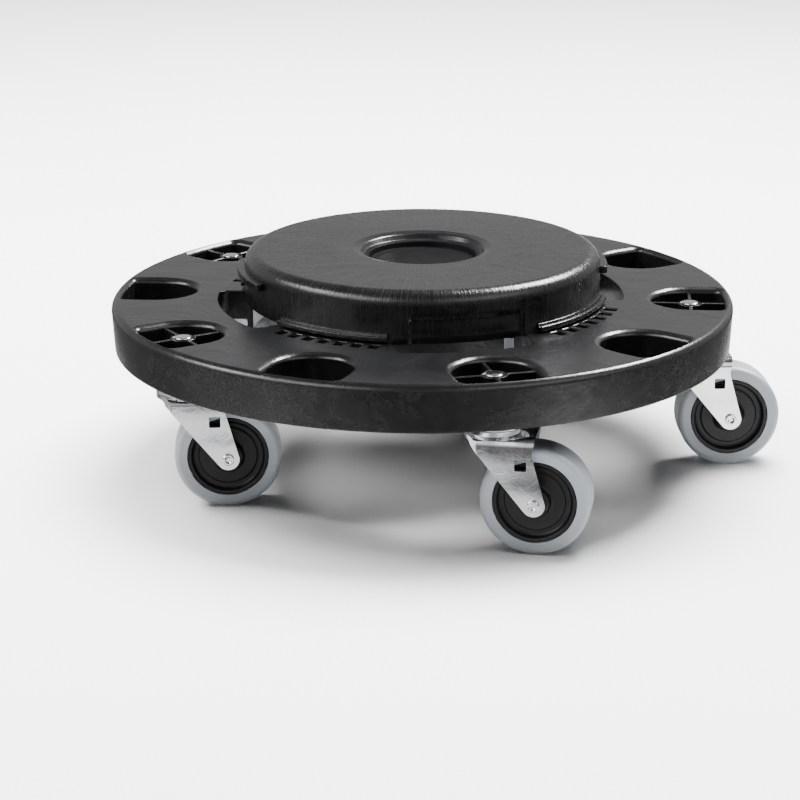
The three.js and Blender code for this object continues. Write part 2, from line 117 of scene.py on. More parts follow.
WHEEL_R = 38.1
TREAD_HALF = 13.5
TREAD_ROUND = 4
HUB_R = 29
TRAIL = 30
CASTER_CIRCLE_R = 200
CASTER_STEP = 72
FRONT_AT = -76
CASTERS = ["front", "right", "rear_right", "rear_left", "left"]
POCKET_COUNT = 10
POCKET_STEP = CASTER_STEP / 2       # every other pocket holds a caster
POCKET_HALF = 29
POCKET_OUTER_R = 225.5
POCKET_CORNER = 5
POCKET_WALL = 3
POCKET_FLOOR = 101
POCKET_SEAT = 97
POCKET_RIB_TOP = 123.5
POCKET_RIB = 2.4
BOSS_R = 9.3
BOSS_TOP = 122.3
BOSS_FILLET = 2.5

KING_R = 5
KING_HEAD_R = 6
KING_HEAD_TOP = 124.6
KING_END = 73.3
KING_NUT_FLAT = 8.5
KING_NUT_HEIGHT = 4
NUT_FLANGE = 2.2
RACE_R = 24
RACE_RIM_R = 21.6
RACE_RIM_BOTTOM = 90
RACE_PLATE = 2.4
UPPER_BALL_RING = 17
UPPER_BALL_R = 2.4
LOWER_BALL_RING = 11
LOWER_BALL_R = 2.2
LOWER_RACE_DROP = 1.3               # from the crown's underside
DOME_R = 20.6
DOME_TOP = 88.8

STEEL = 2.8
FORK_BEND = 6.5
LEG_INSIDE = 17.3
LEG_TIP_R = 8
CROWN_TOP = 85
CROWN_BACK_X = 27
CROWN_FRONT_X = -20
AXLE_R = 3
AXLE_HEAD_R = 4.2
AXLE_HEAD = 1.8
NUT_FLAT = 5
NUT_HEIGHT = 5
BUSH_R = 6
HUB_BOSS_HALF = 16.2
HUB_RIM_HALF = 12.8
HUB_WEB_HALF = 8
LEG_HOLE = 8
LEG_HOLE_BACK = -9
LEG_HOLE_UP = 28

DECK_SEGMENTS = 288
WHEEL_SEGMENTS = 128
SMALL_SEGMENTS = 48
BALL_SEGMENTS = 20
ARC_STEP = 11                       # degrees of arc per straight piece of a fillet
SWEPT_STEP = 1.25                   # degrees round the axis between sections of a swept solid
NEARLY_STRAIGHT = math.radians(89)  # half the angle of a corner that needs no fillet
FILLET_SHARE = 0.49                 # of a side's length that one fillet may use
EDGE_STEPS = 4                      # levels of a rounded edge
LIP_STEPS = 6
LIP_PROUD = 0.01                    # how far a cutter's lip stands above the face it opens
CUTTER_HEAD = 4                     # and how far the cutter goes on past that face
THROUGH = 120                       # longer than anything a rod has to pass through
SHARP = math.radians(38)


# ---- Outlines: lists of (x, y), anticlockwise ----
def polar(radius, degrees):
    return (radius * math.cos(math.radians(degrees)), radius * math.sin(math.radians(degrees)))


def sweep(radius, start, end, step=2.5, centre=(0, 0)):
    """Points of an arc about centre, from one bearing to another."""
    steps = max(1, math.ceil(abs(end - start) / step))
    points = []
    for i in range(steps + 1):
        x, y = polar(radius, start + (end - start) * i / steps)
        points.append((centre[0] + x, centre[1] + y))
    return points


def rounded(corners):
    """Replaces each (x, y, fillet radius) corner by its arc."""
    points = []
    for i, (x, y, radius) in enumerate(corners):
        here = Vector((x, y))
        before = Vector(corners[i - 1][:2]) - here
        after = Vector(corners[(i + 1) % len(corners)][:2]) - here
        half = before.angle(after) / 2
        if radius <= 0 or half > NEARLY_STRAIGHT:
            points.append((x, y))
            continue
        reach = min(radius / math.tan(half), FILLET_SHARE * before.length, FILLET_SHARE * after.length)
        radius = reach * math.tan(half)
        before.normalize()
        after.normalize()
        middle = here + (before + after).normalized() * (radius / math.sin(half))
        first = here + before * reach - middle
        last = here + after * reach - middle
        start = math.atan2(first.y, first.x)
        turn = math.remainder(math.atan2(last.y, last.x) - start, 2 * math.pi)
        steps = max(1, math.ceil(math.degrees(abs(turn)) / ARC_STEP))
        for k in range(steps + 1):
            a = start + turn * k / steps
            points.append((middle.x + radius * math.cos(a), middle.y + radius * math.sin(a)))
    return points


def grown(outline, distance):
    """Moves an anticlockwise outline outwards."""
    points = []
    for i, point in enumerate(outline):
        here = Vector(point)
        along = (here - Vector(outline[i - 1])).normalized()
        onward = (Vector(outline[(i + 1) % len(outline)]) - here).normalized()
        out = Vector((along.y, -along.x)) + Vector((onward.y, -onward.x))
        out.normalize()
        squareness = max(0.5, out.dot(Vector((along.y, -along.x))))
        moved = here + out * distance / squareness
        points.append((moved.x, moved.y))
    return points


def quarter(steps):
    """The angles of a rounded edge, from 0 to 90 degrees."""
    return [math.radians(90 * i / (steps - 1)) for i in range(steps)]


def spun(outline, degrees):
    c, s = math.cos(math.radians(degrees)), math.sin(math.radians(degrees))
    return [(x * c - y * s, x * s + y * c) for x, y in outline]


def rectangle(x0, y0, x1, y1, corner=0.0):
    return rounded([(x0, y0, corner), (x1, y0, corner), (x1, y1, corner), (x0, y1, corner)])


# ---- Solids: bmeshes in millimetres ----
def fill(bm, ring_a, ring_b):
    """Side faces between two rings; a ring of one vertex is a pole."""
    count = max(len(ring_a), len(ring_b))
    for i in range(count):
        j = (i + 1) % count
        if len(ring_a) == 1:
            bm.faces.new((ring_a[0], ring_b[j], ring_b[i]))
        elif len(ring_b) == 1:
            bm.faces.new((ring_a[i], ring_a[j], ring_b[0]))
        else:
            bm.faces.new((ring_a[i], ring_a[j], ring_b[j], ring_b[i]))


def outward(bm):
    bmesh.ops.recalc_face_normals(bm, faces=bm.faces)
    return bm


def skin(rings):
    """A solid through rings of as many (x, y, z) points each, closed at both ends."""
    bm = bmesh.new()
    rings = [[bm.verts.new(point) for point in ring] for ring in rings]
    for a, b in zip(rings, rings[1:]):
        fill(bm, a, b)
    bm.faces.new(rings[0])
    bm.faces.new(rings[-1])
    return outward(bm)


def lathe(profile, segments=SMALL_SEGMENTS):
    """Turns a closed outline of (radius, height) points about Z."""
    bm = bmesh.new()
    rings = []
    for radius, height in profile:
        if radius < 1e-6:
            rings.append([bm.verts.new((0, 0, height))])
            continue
        ring = []
        for i in range(segments):
            x, y = polar(radius, 360 * i / segments)
            ring.append(bm.verts.new((x, y, height)))
        rings.append(ring)
    pairs = list(zip(rings, rings[1:]))
    if len(rings[0]) > 1 and len(rings[-1]) > 1:
        pairs.append((rings[-1], rings[0]))
    for a, b in pairs:
        if len(a) > 1 or len(b) > 1:
            fill(bm, a, b)
    return outward(bm)


def loft(levels):
    """Stacks outlines of equal length: levels are (height, outline)."""
    return skin([[(x, y, height) for x, y in outline] for height, outline in levels])


def prism(outline, bottom, top, edge=0.0):
    """An upright solid, with both its flat ends rounded off by edge."""
    if edge <= 0:
        return loft([(bottom, outline), (top, outline)])
    lower, upper = [], []
    for a in quarter(EDGE_STEPS):
        inset = grown(outline, -edge * (1 - math.cos(a)))
        drop = edge * (1 - math.sin(a))
        lower.append((bottom + drop, inset))
        upper.append((top - drop, inset))
    return loft(lower[::-1] + upper)


def hollow(outline, bottom, top, lip, foot=0.0, draft=0.0):
    """A cutter whose mouth flares into a rounded lip and whose foot is filleted."""
    levels = [(bottom, outline)]
    if foot > 0:
        levels = [(bottom + foot * (1 - math.cos(a)), grown(outline, foot * (math.sin(a) - 1)))
                  for a in quarter(EDGE_STEPS)]
    lean = draft * (top - lip - bottom)
    for a in quarter(LIP_STEPS):
        height = top + LIP_PROUD - lip * (1 - math.sin(a))
        levels.append((height, grown(outline, lean + lip * (1 - math.cos(a)))))
    levels.append((top + CUTTER_HEAD, grown(outline, lean + lip)))
    return loft(levels)


def rod(radius, bottom, top):
    """A plain round cutter about Z."""
    return lathe([(0, bottom), (radius, bottom), (radius, top), (0, top)])


def slab(side, half):
    """A (radius, height) outline thickened sideways about the X axis."""
    return skin([[(r, y, z) for r, z in side] for y in (-half, half)])


def turn(bm, degrees, axis="Z"):
    matrix = Matrix.Rotation(math.radians(degrees), 3, axis)
    bmesh.ops.rotate(bm, verts=bm.verts, cent=(0, 0, 0), matrix=matrix)
    return bm


def shift(bm, x, y, z):
    bmesh.ops.translate(bm, verts=bm.verts, vec=(x, y, z))
    return bm


def laid_on_axle(bm):
    """Takes a solid turned about Z and lays it along the axle; its top end points to -Y."""
    return shift(turn(bm, 90, "X"), TRAIL, 0, WHEEL_R)


def together(solids):
    """One bmesh of several solids that don't touch each other."""
    mesh = bpy.data.meshes.new("part")
    whole = bmesh.new()
    for bm in solids:
        bm.to_mesh(mesh)
        bm.free()
        whole.from_mesh(mesh)
    bpy.data.meshes.remove(mesh)
    return whole


def as_object(name, bm):
    mesh = bpy.data.meshes.new(name)
    bm.to_mesh(mesh)
    bm.free()
    obj = bpy.data.objects.new(name, mesh)
    bpy.context.scene.collection.objects.link(obj)
    return obj


def as_solid(obj):
    """The object's mesh as a bmesh again; the object goes."""
    bm = bmesh.new()
    bm.from_mesh(obj.data)
    bpy.data.objects.remove(obj)
    return bm


def evaluated(obj):
    """Applies the object's modifiers."""
    bpy.context.view_layer.update()
    graph = bpy.context.evaluated_depsgraph_get()
    mesh = bpy.data.meshes.new_from_object(obj.evaluated_get(graph))
    old = obj.data
    obj.modifiers.clear()
    obj.data = mesh
    mesh.name = obj.name
    bpy.data.meshes.remove(old)


def combine(obj, bm, operation):
    """Joins a solid to the object (UNION), cuts it away (DIFFERENCE) or keeps what both share."""
    other = as_object("other", bm)
    change = obj.modifiers.new("combine", "BOOLEAN")
    change.solver = "MANIFOLD"
    change.operation = operation
    change.object = other
    evaluated(obj)
    mesh = other.data
    bpy.data.objects.remove(other)
    bpy.data.meshes.remove(mesh)


def smoothed(obj, angle=SHARP):
    obj.data.shade_smooth()
    obj.data.set_sharp_from_angle(angle=angle)
    weigh = obj.modifiers.new("weigh", "WEIGHTED_NORMAL")
    weigh.keep_sharp = True
    weigh.weight = 60
    evaluated(obj)


# ---- The deck moulding ----
def sector(inner, outer, start, end, corner):
    """Plan of a ring sector whose outer corners are rounded."""
    outer_points = sweep(outer, start, end)
    first, last = outer_points[0], outer_points[-1]
    clear = 2.2 * corner
    corners = [(x, y, 0) for x, y in sweep(inner, end, start)]
    corners.append((*first, corner))
    corners += [(*p, 0) for p in outer_points[1:-1]
                if min(math.dist(p, first), math.dist(p, last)) > clear]
    corners.append((*last, corner))
    return rounded(corners)


def band(inner, outer, half, corner):
    """Plan of a slot with parallel ends, lying across the X axis."""
    edge_angle = math.degrees(math.asin(half / outer))
    inner_angle = math.degrees(math.asin(half / inner))
    clear = edge_angle - 4
    corners = [(x, y, 0) for x, y in sweep(inner, inner_angle, -inner_angle)]
    corners.append((*polar(outer, -edge_angle), corner))
    corners += [(x, y, 0) for x, y in sweep(outer, -clear, clear)]
    corners.append((*polar(outer, edge_angle), corner))
    return rounded(corners)


def pocket_plan():
    """A half circle towards the drum, opening out to a curved side with two corners."""
    half = POCKET_HALF
    side = math.degrees(math.asin(half / POCKET_OUTER_R))
    clear = side - 3
    corners = [(x, y, 0) for x, y in sweep(half, 90, 270, 6, (CASTER_CIRCLE_R, 0))]
    corners.append((*polar(POCKET_OUTER_R, -side), POCKET_CORNER))
    corners += [(x, y, 0) for x, y in sweep(POCKET_OUTER_R, -clear, clear, 1.2)]
    corners.append((*polar(POCKET_OUTER_R, side), POCKET_CORNER))
    return rounded(corners)


def cross_plan():
    """The cross of ribs in a caster's pocket, swelling into the boss at its middle."""
    half = POCKET_RIB / 2
    short = POCKET_HALF + 1
    arms = [POCKET_OUTER_R + 1 - CASTER_CIRCLE_R, short, short, short]
    clear = math.degrees(math.asin(half / BOSS_R))
    corners = []
    for i, reach in enumerate(arms):
        for x, y in spun([(reach, -half), (reach, half)], 90 * i):
            corners.append((x, y, 0))
        arc_points = sweep(BOSS_R, 90 * i + clear, 90 * (i + 1) - clear, 9)
        corners.append((*arc_points[0], BOSS_FILLET))
        corners += [(x, y, 0) for x, y in arc_points[1:-1]]
        corners.append((*arc_points[-1], BOSS_FILLET))
    return [(CASTER_CIRCLE_R + x, y) for x, y in rounded(corners)]


def slot_plans(inner, grow, ends, curved_corner, straight_corner):
    """Plans of the four slots round the drum, larger by grow and, if curved, longer by ends degrees."""
    plans = [sector(inner, r + grow, start - ends, end + ends, curved_corner)
             for start, end, r in CURVED_SLOTS]
    for at in STRAIGHT_SLOTS:
        straight = band(inner, STRAIGHT_SLOT_R + grow, STRAIGHT_SLOT_HALF + grow, straight_corner)
        plans.append(spun(straight, at))
    return plans


def radial_ribs(side):
    """Ribs of one side outline under the deck or the drum, between the pockets."""
    return together([turn(slab(side, RIB / 2), rib_bearing(i)) for i in range(RIB_COUNT)])


def plate():
    """The flat ring with its skirt, pockets, slots and the ribs under it."""
    skirt_foot = DECK_R - SKIRT_DRAFT
    inner = DRUM_R - OVERLAP
    head = DECK_TOP - OVERLAP
    lip = 1.2
    deck = as_object("deck_moulding", lathe(rounded([
        (inner, DECK_TOP - WALL, 0),
        (inner, DECK_TOP, 0),
        (DECK_R, DECK_TOP, RIM_FILLET),
        (skirt_foot, SKIRT_BOTTOM, lip),
        (skirt_foot - WALL, SKIRT_BOTTOM, lip),
        (DECK_R - WALL, DECK_TOP - WALL, RIM_FILLET - 2),
    ]), DECK_SEGMENTS))
    rib_start, rib_end = inner + 0.5, DECK_R - WALL + 0.5
    combine(deck, radial_ribs([
        (rib_start, DECK_RIB_BOTTOM), (rib_end, DECK_RIB_BOTTOM), (rib_end, DECK_TOP - 4),
        (DECK_R - 6, head), (rib_start, head),
    ]), "UNION")
    bearings = [FRONT_AT + POCKET_STEP * i for i in range(POCKET_COUNT)]
    casters = bearings[0::2]
    pocket = pocket_plan()
    outside, mouth = grown(pocket, POCKET_WALL), grown(pocket, -0.8)
    walls = [prism(spun(outside, at), POCKET_SEAT, head, 1.2) for at in bearings]
    walls += [prism(plan, DECK_TOP - SLOT_DEPTH, head) for plan in slot_plans(rib_start, WALL, 2, 9, 6)]
    combine(deck, together(walls), "UNION")
    holes = [hollow(spun(mouth, at), POCKET_FLOOR, DECK_TOP, lip=4.4, foot=2.5, draft=0.03)
             for at in bearings]
    combine(deck, together(holes), "DIFFERENCE")
    holes = [hollow(plan, 0, DECK_TOP, lip=0.8) for plan in slot_plans(inner - 3, 0, 0, 7, 3)]
    combine(deck, together(holes), "DIFFERENCE")
    crosses = [prism(spun(cross_plan(), at), POCKET_FLOOR - 1, POCKET_RIB_TOP, 0.6) for at in casters]
    combine(deck, together(crosses), "UNION")
    dip = rounded([
        (BOSS_R + 0.4, DECK_TOP, 0), (0, DECK_TOP, 0), (0, BOSS_TOP, 0), (BOSS_R - 0.6, BOSS_TOP, 0.6),
    ])
    middles = [polar(CASTER_CIRCLE_R, at) for at in casters]
    combine(deck, together([shift(lathe(dip), x, y, 0) for x, y in middles]), "DIFFERENCE")
    bores = [shift(rod(KING_R + GAP, 0, DECK_TOP - 1), x, y, 0) for x, y in middles]
    combine(deck, together(bores), "DIFFERENCE")
    combine(deck, together(window_cutters()), "DIFFERENCE")
    return deck


def rib_bearing(i):
    return FRONT_AT + CASTER_STEP / 4 + i * 360 / RIB_COUNT


def window_cutters():
    middle = (WINDOW_INNER_R + WINDOW_OUTER_R) / 2
    half = middle * math.radians(WINDOW_WIDTH) / 2
    plan = rectangle(WINDOW_INNER_R, -half, WINDOW_OUTER_R, half, WINDOW_CORNER)
    cutters = []
    for _, _, centre in LEDGES:
        for i in range(WINDOW_COUNT):
            at = centre + (i - (WINDOW_COUNT - 1) / 2) * WINDOW_PITCH
            cutters.append(hollow(spun(plan, at), DECK_TOP - WALL - 3, DECK_TOP, lip=0.9))
    return cutters


def drum():
    """The raised drum with its dish, sunk panel and ribs."""
    under = DRUM_TOP - WALL
    middle = (DRUM_R - DRUM_FILLET, DRUM_TOP - DRUM_FILLET)
    shoulder = [(x, z, 0) for x, z in sweep(DRUM_FILLET, 90, 0, ARC_STEP, middle)]
    body = as_object("drum", lathe(rounded([
        (0, DISH_FLOOR, 0),
        (DISH_FLOOR_R, DISH_FLOOR, 0.8),
        (DISH_FLOOR_R + 1.2, DISH_STEP - 0.6, 1.2),
        (DISH_STEP_R, DISH_STEP, 1.0),
        (DISH_STEP_R + 2.5, DRUM_TOP - 1.2, 2.5),
        (DISH_LIP_R, DRUM_TOP, 4),
        *shoulder,
        (DRUM_R, POCKET_SEAT, 1),
        (DRUM_R - WALL, POCKET_SEAT, 1),
        (DRUM_R - WALL, under, DRUM_FILLET - WALL),
        (DISH_STEP_R + WALL + 3, under, 2),
        (DISH_STEP_R + 1, DISH_FLOOR - WALL, 2),
        (0, DISH_FLOOR - WALL, 0),
    ]), DECK_SEGMENTS))
    rib_start, rib_end, rib_top = DISH_STEP_R - 1, DRUM_R - 2, DRUM_TOP - 2
    combine(body, radial_ribs([
        (rib_start, DRUM_RIB_BOTTOM), (rib_end, DRUM_RIB_BOTTOM), (rib_end, DRUM_TOP - 9),
        (DRUM_R - 9, rib_top), (DISH_LIP_R + 3, rib_top), (DISH_STEP_R + 2, DISH_FLOOR - 1),
        (rib_start, DISH_FLOOR - 1),
    ]), "UNION")
    outer = HOOP_R + RIB
    hoop = rounded([
        (HOOP_R, POCKET_SEAT, 1), (outer, POCKET_SEAT, 1), (outer, rib_top, 0), (HOOP_R, rib_top, 0),
    ])
    combine(body, lathe(hoop, DECK_SEGMENTS), "UNION")
    notch = sector(HOOP_R - 1, outer + 1, HOOP_NOTCH_FROM, HOOP_NOTCH_TO, 0)
    combine(body, prism(notch, 0, HOOP_NOTCH_TOP), "DIFFERENCE")
    back = DRUM_R - PANEL_DEPTH
    thick = sector(back - WALL, DRUM_R - 1, PANEL_FROM - 2, PANEL_TO + 2, 0.5)
    combine(body, prism(thick, PANEL_BOTTOM - 10, DRUM_TOP - 9), "UNION")
    inside, outside = DRUM_R - WALL - 7, DRUM_R + 3
    straight = band(inside, outside, STRAIGHT_SLOT_HALF, 0)
    notches = [prism(spun(straight, at), 0, PANEL_BOTTOM) for at in STRAIGHT_SLOTS]
    for start, end, _ in CURVED_SLOTS:
        notches.append(prism(sector(inside, outside, start, end, 0), 0, CURVED_NOTCH_TOP))
    combine(body, together(notches), "DIFFERENCE")
    combine(body, panel_recess(back), "DIFFERENCE")
    return body


def swept(profile, start, end, edge):
    """A (radius, height) outline carried round from one bearing to another, with eased ends."""
    steps = max(2, math.ceil((end - start) / SWEPT_STEP))
    between = [(start + (end - start) * i / steps, profile) for i in range(1, steps)]
    ease = math.degrees(edge / profile[0][0])
    thin = grown(profile, -edge)
    stations = [(start, thin), (start + ease, profile), *between, (end - ease, profile), (end, thin)]
    return skin([[(*polar(r, at), z) for r, z in outline] for at, outline in stations])


def panel_recess(back):
    """The sunk panel: upright ends and back, and a ceiling that slopes up towards the outside."""
    bottom, outside = PANEL_BOTTOM - 2, DRUM_R + 6
    return swept(rounded([
        (back, bottom, 0), (outside, bottom, 0),
        (outside, PANEL_TOP + PANEL_SLOPE + 5, 0), (back, PANEL_TOP, 5),
    ]), PANEL_FROM, PANEL_TO, 2)


def ledge_profile():
    """A low ledge with a rib along the wall and another along its edge."""
    low = LEDGE_BOTTOM
    floor, edge_rib, wall_rib = low + LEDGE_FLOOR, low + LEDGE_EDGE_RIB, low + LEDGE_WALL_RIB
    root = DRUM_R - 1.3
    return rounded([
        (root, low, 0), (LUG_R, low, 0.5),
        (LUG_R, edge_rib, 0.8), (LUG_R - 1.7, edge_rib, 0.6),
        (LUG_R - 2.1, floor, 0.3), (DRUM_R + 2.4, floor, 0.3),
        (DRUM_R + 1.9, wall_rib, 0.6), (root, wall_rib, 0),
    ])


def build_deck():
    """Plate and drum as one moulding, with the ledges and lugs on the drum's wall."""
    deck = plate()
    combine(deck, as_solid(drum()), "UNION")
    catches = [swept(ledge_profile(), start, end, 0.5) for start, end, _ in LEDGES]
    for start, end in LUGS:
        catches.append(prism(sector(DRUM_R - 1, LUG_R, start, end, 3.5), LUG_BOTTOM, LUG_TOP, 1))
    combine(deck, together(catches), "UNION")
    return deck


# ---- Caster pieces, about the swivel axis, axle towards +X ----
def fork():
    """Pressed from one sheet: a crown bent down into two legs, with a raised ball dome."""
    inside, outside = LEG_INSIDE, LEG_INSIDE + STEEL
    top, under = CROWN_TOP, CROWN_TOP - STEEL
    front = CROWN_FRONT_X
    foot, back = 20, 60                 # the blank reaches past the legs' outline
    section = rounded([
        (-outside, foot, 0), (-inside, foot, 0),
        (-inside, under, FORK_BEND - STEEL), (inside, under, FORK_BEND - STEEL),
        (inside, foot, 0), (outside, foot, 0),
        (outside, top, FORK_BEND), (-outside, top, FORK_BEND),
    ])
    sheet = as_object("fork", skin([[(x, y, z) for y, z in section] for x in (front - 5, back)]))
    side = rounded([
        (front - 3, top + 3, 0), (front - 3, top - 6, 0), (front + 6, top - 6, 4),
        *[(x, z, 0) for x, z in sweep(LEG_TIP_R, 222, 368, 8, (TRAIL, WHEEL_R))],
        (CROWN_BACK_X + 1.5, top - 12, 6), (CROWN_BACK_X + 4, top + 3, 0),
    ])
    combine(sheet, slab(side, outside + 2), "INTERSECT")
    wide, corner = outside + 1, 17
    plan = rounded([(front, -wide, corner), (back, -wide, 0), (back, wide, 0), (front, wide, corner)])
    combine(sheet, prism(plan, 0, top + 5), "INTERSECT")
    dome = rounded([
        (0, under, 0), (DOME_R - 1, under, 0), (DOME_R - 1, top, 1),
        (DOME_R - 2.2, DOME_TOP, 2), (0, DOME_TOP, 0),
    ])
    combine(sheet, lathe(dome, WHEEL_SEGMENTS), "UNION")
    seat_r = LOWER_BALL_RING + LOWER_BALL_R + GAP
    seat_top = DOME_TOP - STEEL
    seat = rounded([(0, 0, 0), (seat_r, 0, 0), (seat_r, seat_top, 2), (0, seat_top, 0)])
    combine(sheet, lathe(seat, WHEEL_SEGMENTS), "DIFFERENCE")
    combine(sheet, rod(KING_R + 1, 0, THROUGH), "DIFFERENCE")
    combine(sheet, laid_on_axle(rod(AXLE_R + GAP, -THROUGH / 2, THROUGH / 2)), "DIFFERENCE")
    x, z, half = TRAIL + LEG_HOLE_BACK, WHEEL_R + LEG_HOLE_UP, LEG_HOLE / 2
    hole = rectangle(x - half, z - half, x + half, z + half, 0.9)
    combine(sheet, slab(hole, outside + 2), "DIFFERENCE")
    ease = sheet.modifiers.new("ease", "BEVEL")
    ease.width = 0.45
    ease.segments = 2
    ease.limit_method = "ANGLE"
    ease.angle_limit = math.radians(50)
    ease.use_clamp_overlap = True
    ease.harden_normals = False
    evaluated(sheet)
    return sheet


def top_race():
    """A cup: a plate under the pocket's floor with a rim round the balls."""
    bore = KING_R + GAP
    top = POCKET_SEAT - GAP
    under = top - RACE_PLATE
    return lathe(rounded([
        (bore, under, 0), (RACE_RIM_R, under, 1), (RACE_RIM_R, RACE_RIM_BOTTOM, 0.8),
        (RACE_R, RACE_RIM_BOTTOM, 0.8), (RACE_R, top, 2), (bore, top, 0),
    ]), WHEEL_SEGMENTS)


def king_bolt():
    under_head = BOSS_TOP + GAP
    return lathe(rounded([
        (0, KING_END, 0), (KING_R, KING_END, 1), (KING_R, under_head, 0),
        (KING_HEAD_R, under_head, 0.3), (KING_HEAD_R, KING_HEAD_TOP - 0.5, 1.2), (0, KING_HEAD_TOP, 0),
    ]))


def nut(flat, height):
    """A hexagon with its corners turned off at both ends, standing on z = 0."""
    corner = flat / math.cos(math.radians(30))
    body = as_object("nut", prism([polar(corner, 60 * i) for i in range(6)], 0, height))
    face, drop = flat - 0.3, 0.9
    turned = [(0, 0), (face, 0), (corner, drop), (corner, height - drop), (face, height), (0, height)]
    combine(body, lathe(turned), "INTERSECT")
    return body


def king_nut():
    top = CROWN_TOP - STEEL - GAP - LOWER_RACE_DROP
    under = top - NUT_FLANGE
    body = nut(KING_NUT_FLAT, KING_NUT_HEIGHT + 1.2)
    body.data.transform(Matrix.Translation((0, 0, under - KING_NUT_HEIGHT)))
    flange_r = LOWER_BALL_RING + LOWER_BALL_R
    flange = rounded([(0, under, 0), (flange_r, under, 0.9), (flange_r, top, 0.6), (0, top, 0)])
    combine(body, lathe(flange), "UNION")
    combine(body, rod(KING_R + GAP, 0, THROUGH), "DIFFERENCE")
    return body


def ball_ring(ring, radius, height):
    """As many balls as a race holds with a little play between them."""
    count = int(2 * math.pi * ring / (2 * radius + 0.35))
    half_circle = [(max(0, r), z) for r, z in sweep(radius, -90, 90, 15)]
    places = [polar(ring, 360 * i / count) for i in range(count)]
    return together([shift(lathe(half_circle, BALL_SEGMENTS), x, y, height) for x, y in places])


def axle():
    """A bolt with a dimpled round head."""
    outside = LEG_INSIDE + STEEL + GAP
    head = outside + AXLE_HEAD
    end = -outside - NUT_HEIGHT - 1
    return laid_on_axle(lathe(rounded([
        (0, end, 0), (AXLE_R, end, 0.6), (AXLE_R, outside, 0),
        (AXLE_HEAD_R, outside, 0.2), (AXLE_HEAD_R, head, 1.2),
        (2.7, head, 1), (1.4, head - 0.9, 1), (0, head - 0.9, 0),
    ])))


def axle_nut():
    body = nut(NUT_FLAT, NUT_HEIGHT)
    body.data.transform(Matrix.Translation((0, 0, -LEG_INSIDE - STEEL - GAP - NUT_HEIGHT)))
    combine(body, rod(AXLE_R + 0.1, -THROUGH / 2, THROUGH / 2), "DIFFERENCE")
    return laid_on_axle(as_solid(body))


def hub():
    """A boss, a web with one step in it and a rim, the same on both sides."""
    rim = HUB_R - GAP
    web, low_web = HUB_WEB_HALF + 2.4, HUB_WEB_HALF + 1.2
    flank = [
        (BUSH_R + GAP, HUB_BOSS_HALF, 0.4), (BUSH_R + 4, HUB_BOSS_HALF, 1.5),
        (BUSH_R + 5.5, web, 2), (20.5, web, 1.2),
        (21.2, low_web, 0.7), (24.8, low_web, 3),
        (26.2, HUB_RIM_HALF, 0.8), (rim, HUB_RIM_HALF, 0.6),
    ]
    mirrored = [(r, -y, fillet) for r, y, fillet in reversed(flank)]
    return laid_on_axle(lathe(rounded(flank + mirrored), WHEEL_SEGMENTS))


def tread():
    bore, half = HUB_R, TREAD_HALF
    return laid_on_axle(lathe(rounded([
        (bore, -half, 0.5), (WHEEL_R, -half, TREAD_ROUND), (WHEEL_R, half, TREAD_ROUND), (bore, half, 0.5),
    ]), WHEEL_SEGMENTS))

# ---- Materials: colours are linear, the depths of bumps in metres ----
PLASTIC = ((0.0032, 0.0033, 0.0035), (0.0048, 0.005, 0.0053))
PLASTIC_STREAK = (0.010, 0.0104, 0.0108)
PLASTIC_SCUFF = (0.034, 0.036, 0.038)
NYLON = ((0.004, 0.004, 0.0044), (0.007, 0.007, 0.0077))
RUBBER = ((0.24, 0.262, 0.285), (0.28, 0.302, 0.325))
ZINC_TINTS = ((0.76, 0.78, 0.80), (0.88, 0.89, 0.90))
BEARING_TINTS = ((0.50, 0.50, 0.51), (0.62, 0.62, 0.63))
FLOOR_TINTS = ((0.93, 0.93, 0.93), (0.94, 0.94, 0.94))
PLASTIC_IOR = 1.5


class Nodes:
    """Builds up a node tree."""

    def __init__(self, tree):
        self.tree = tree

    def node(self, kind, **settings):
        node = self.tree.nodes.new(kind)
        for key, value in settings.items():
            setattr(node, key, value)
        return node

    def put(self, socket, value):
        if isinstance(value, bpy.types.NodeSocket):
            self.tree.links.new(value, socket)
        else:
            socket.default_value = value

    def calc(self, operation, *values):
        node = self.node("ShaderNodeMath", operation=operation)
        for socket, value in zip(node.inputs, values):
            self.put(socket, value)
        return node.outputs[0]

    def plus(self, a, b):
        return self.calc("ADD", a, b)

    def minus(self, a, b):
        return self.calc("SUBTRACT", a, b)

    def times(self, a, b):
        return self.calc("MULTIPLY", a, b)

    def vector(self, operation, a, b=None, scale=None):
        node = self.node("ShaderNodeVectorMath", operation=operation)
        self.put(node.inputs[0], a)
        if b is not None:
            self.put(node.inputs[1], b)
        if scale is not None:
            self.put(node.inputs["Scale"], scale)
        return node.outputs["Value" if operation == "LENGTH" else "Vector"]

    def split(self, place):
        """The x, y and z of a vector."""
        node = self.node("ShaderNodeSeparateXYZ")
        self.put(node.inputs[0], place)
        return node.outputs

    def joined(self, x=0.0, y=0.0, z=0.0):
        node = self.node("ShaderNodeCombineXYZ")
        for socket, value in zip(node.inputs, (x, y, z)):
            self.put(socket, value)
        return node.outputs[0]

    def range(self, value, low, high, to_low=0.0, to_high=1.0):
        """Goes smoothly from to_low, where the value is low, to to_high."""
        node = self.node("ShaderNodeMapRange", interpolation_type="SMOOTHSTEP")
        for socket, item in zip(node.inputs, (value, low, high, to_low, to_high)):
            self.put(socket, item)
        return node.outputs[0]


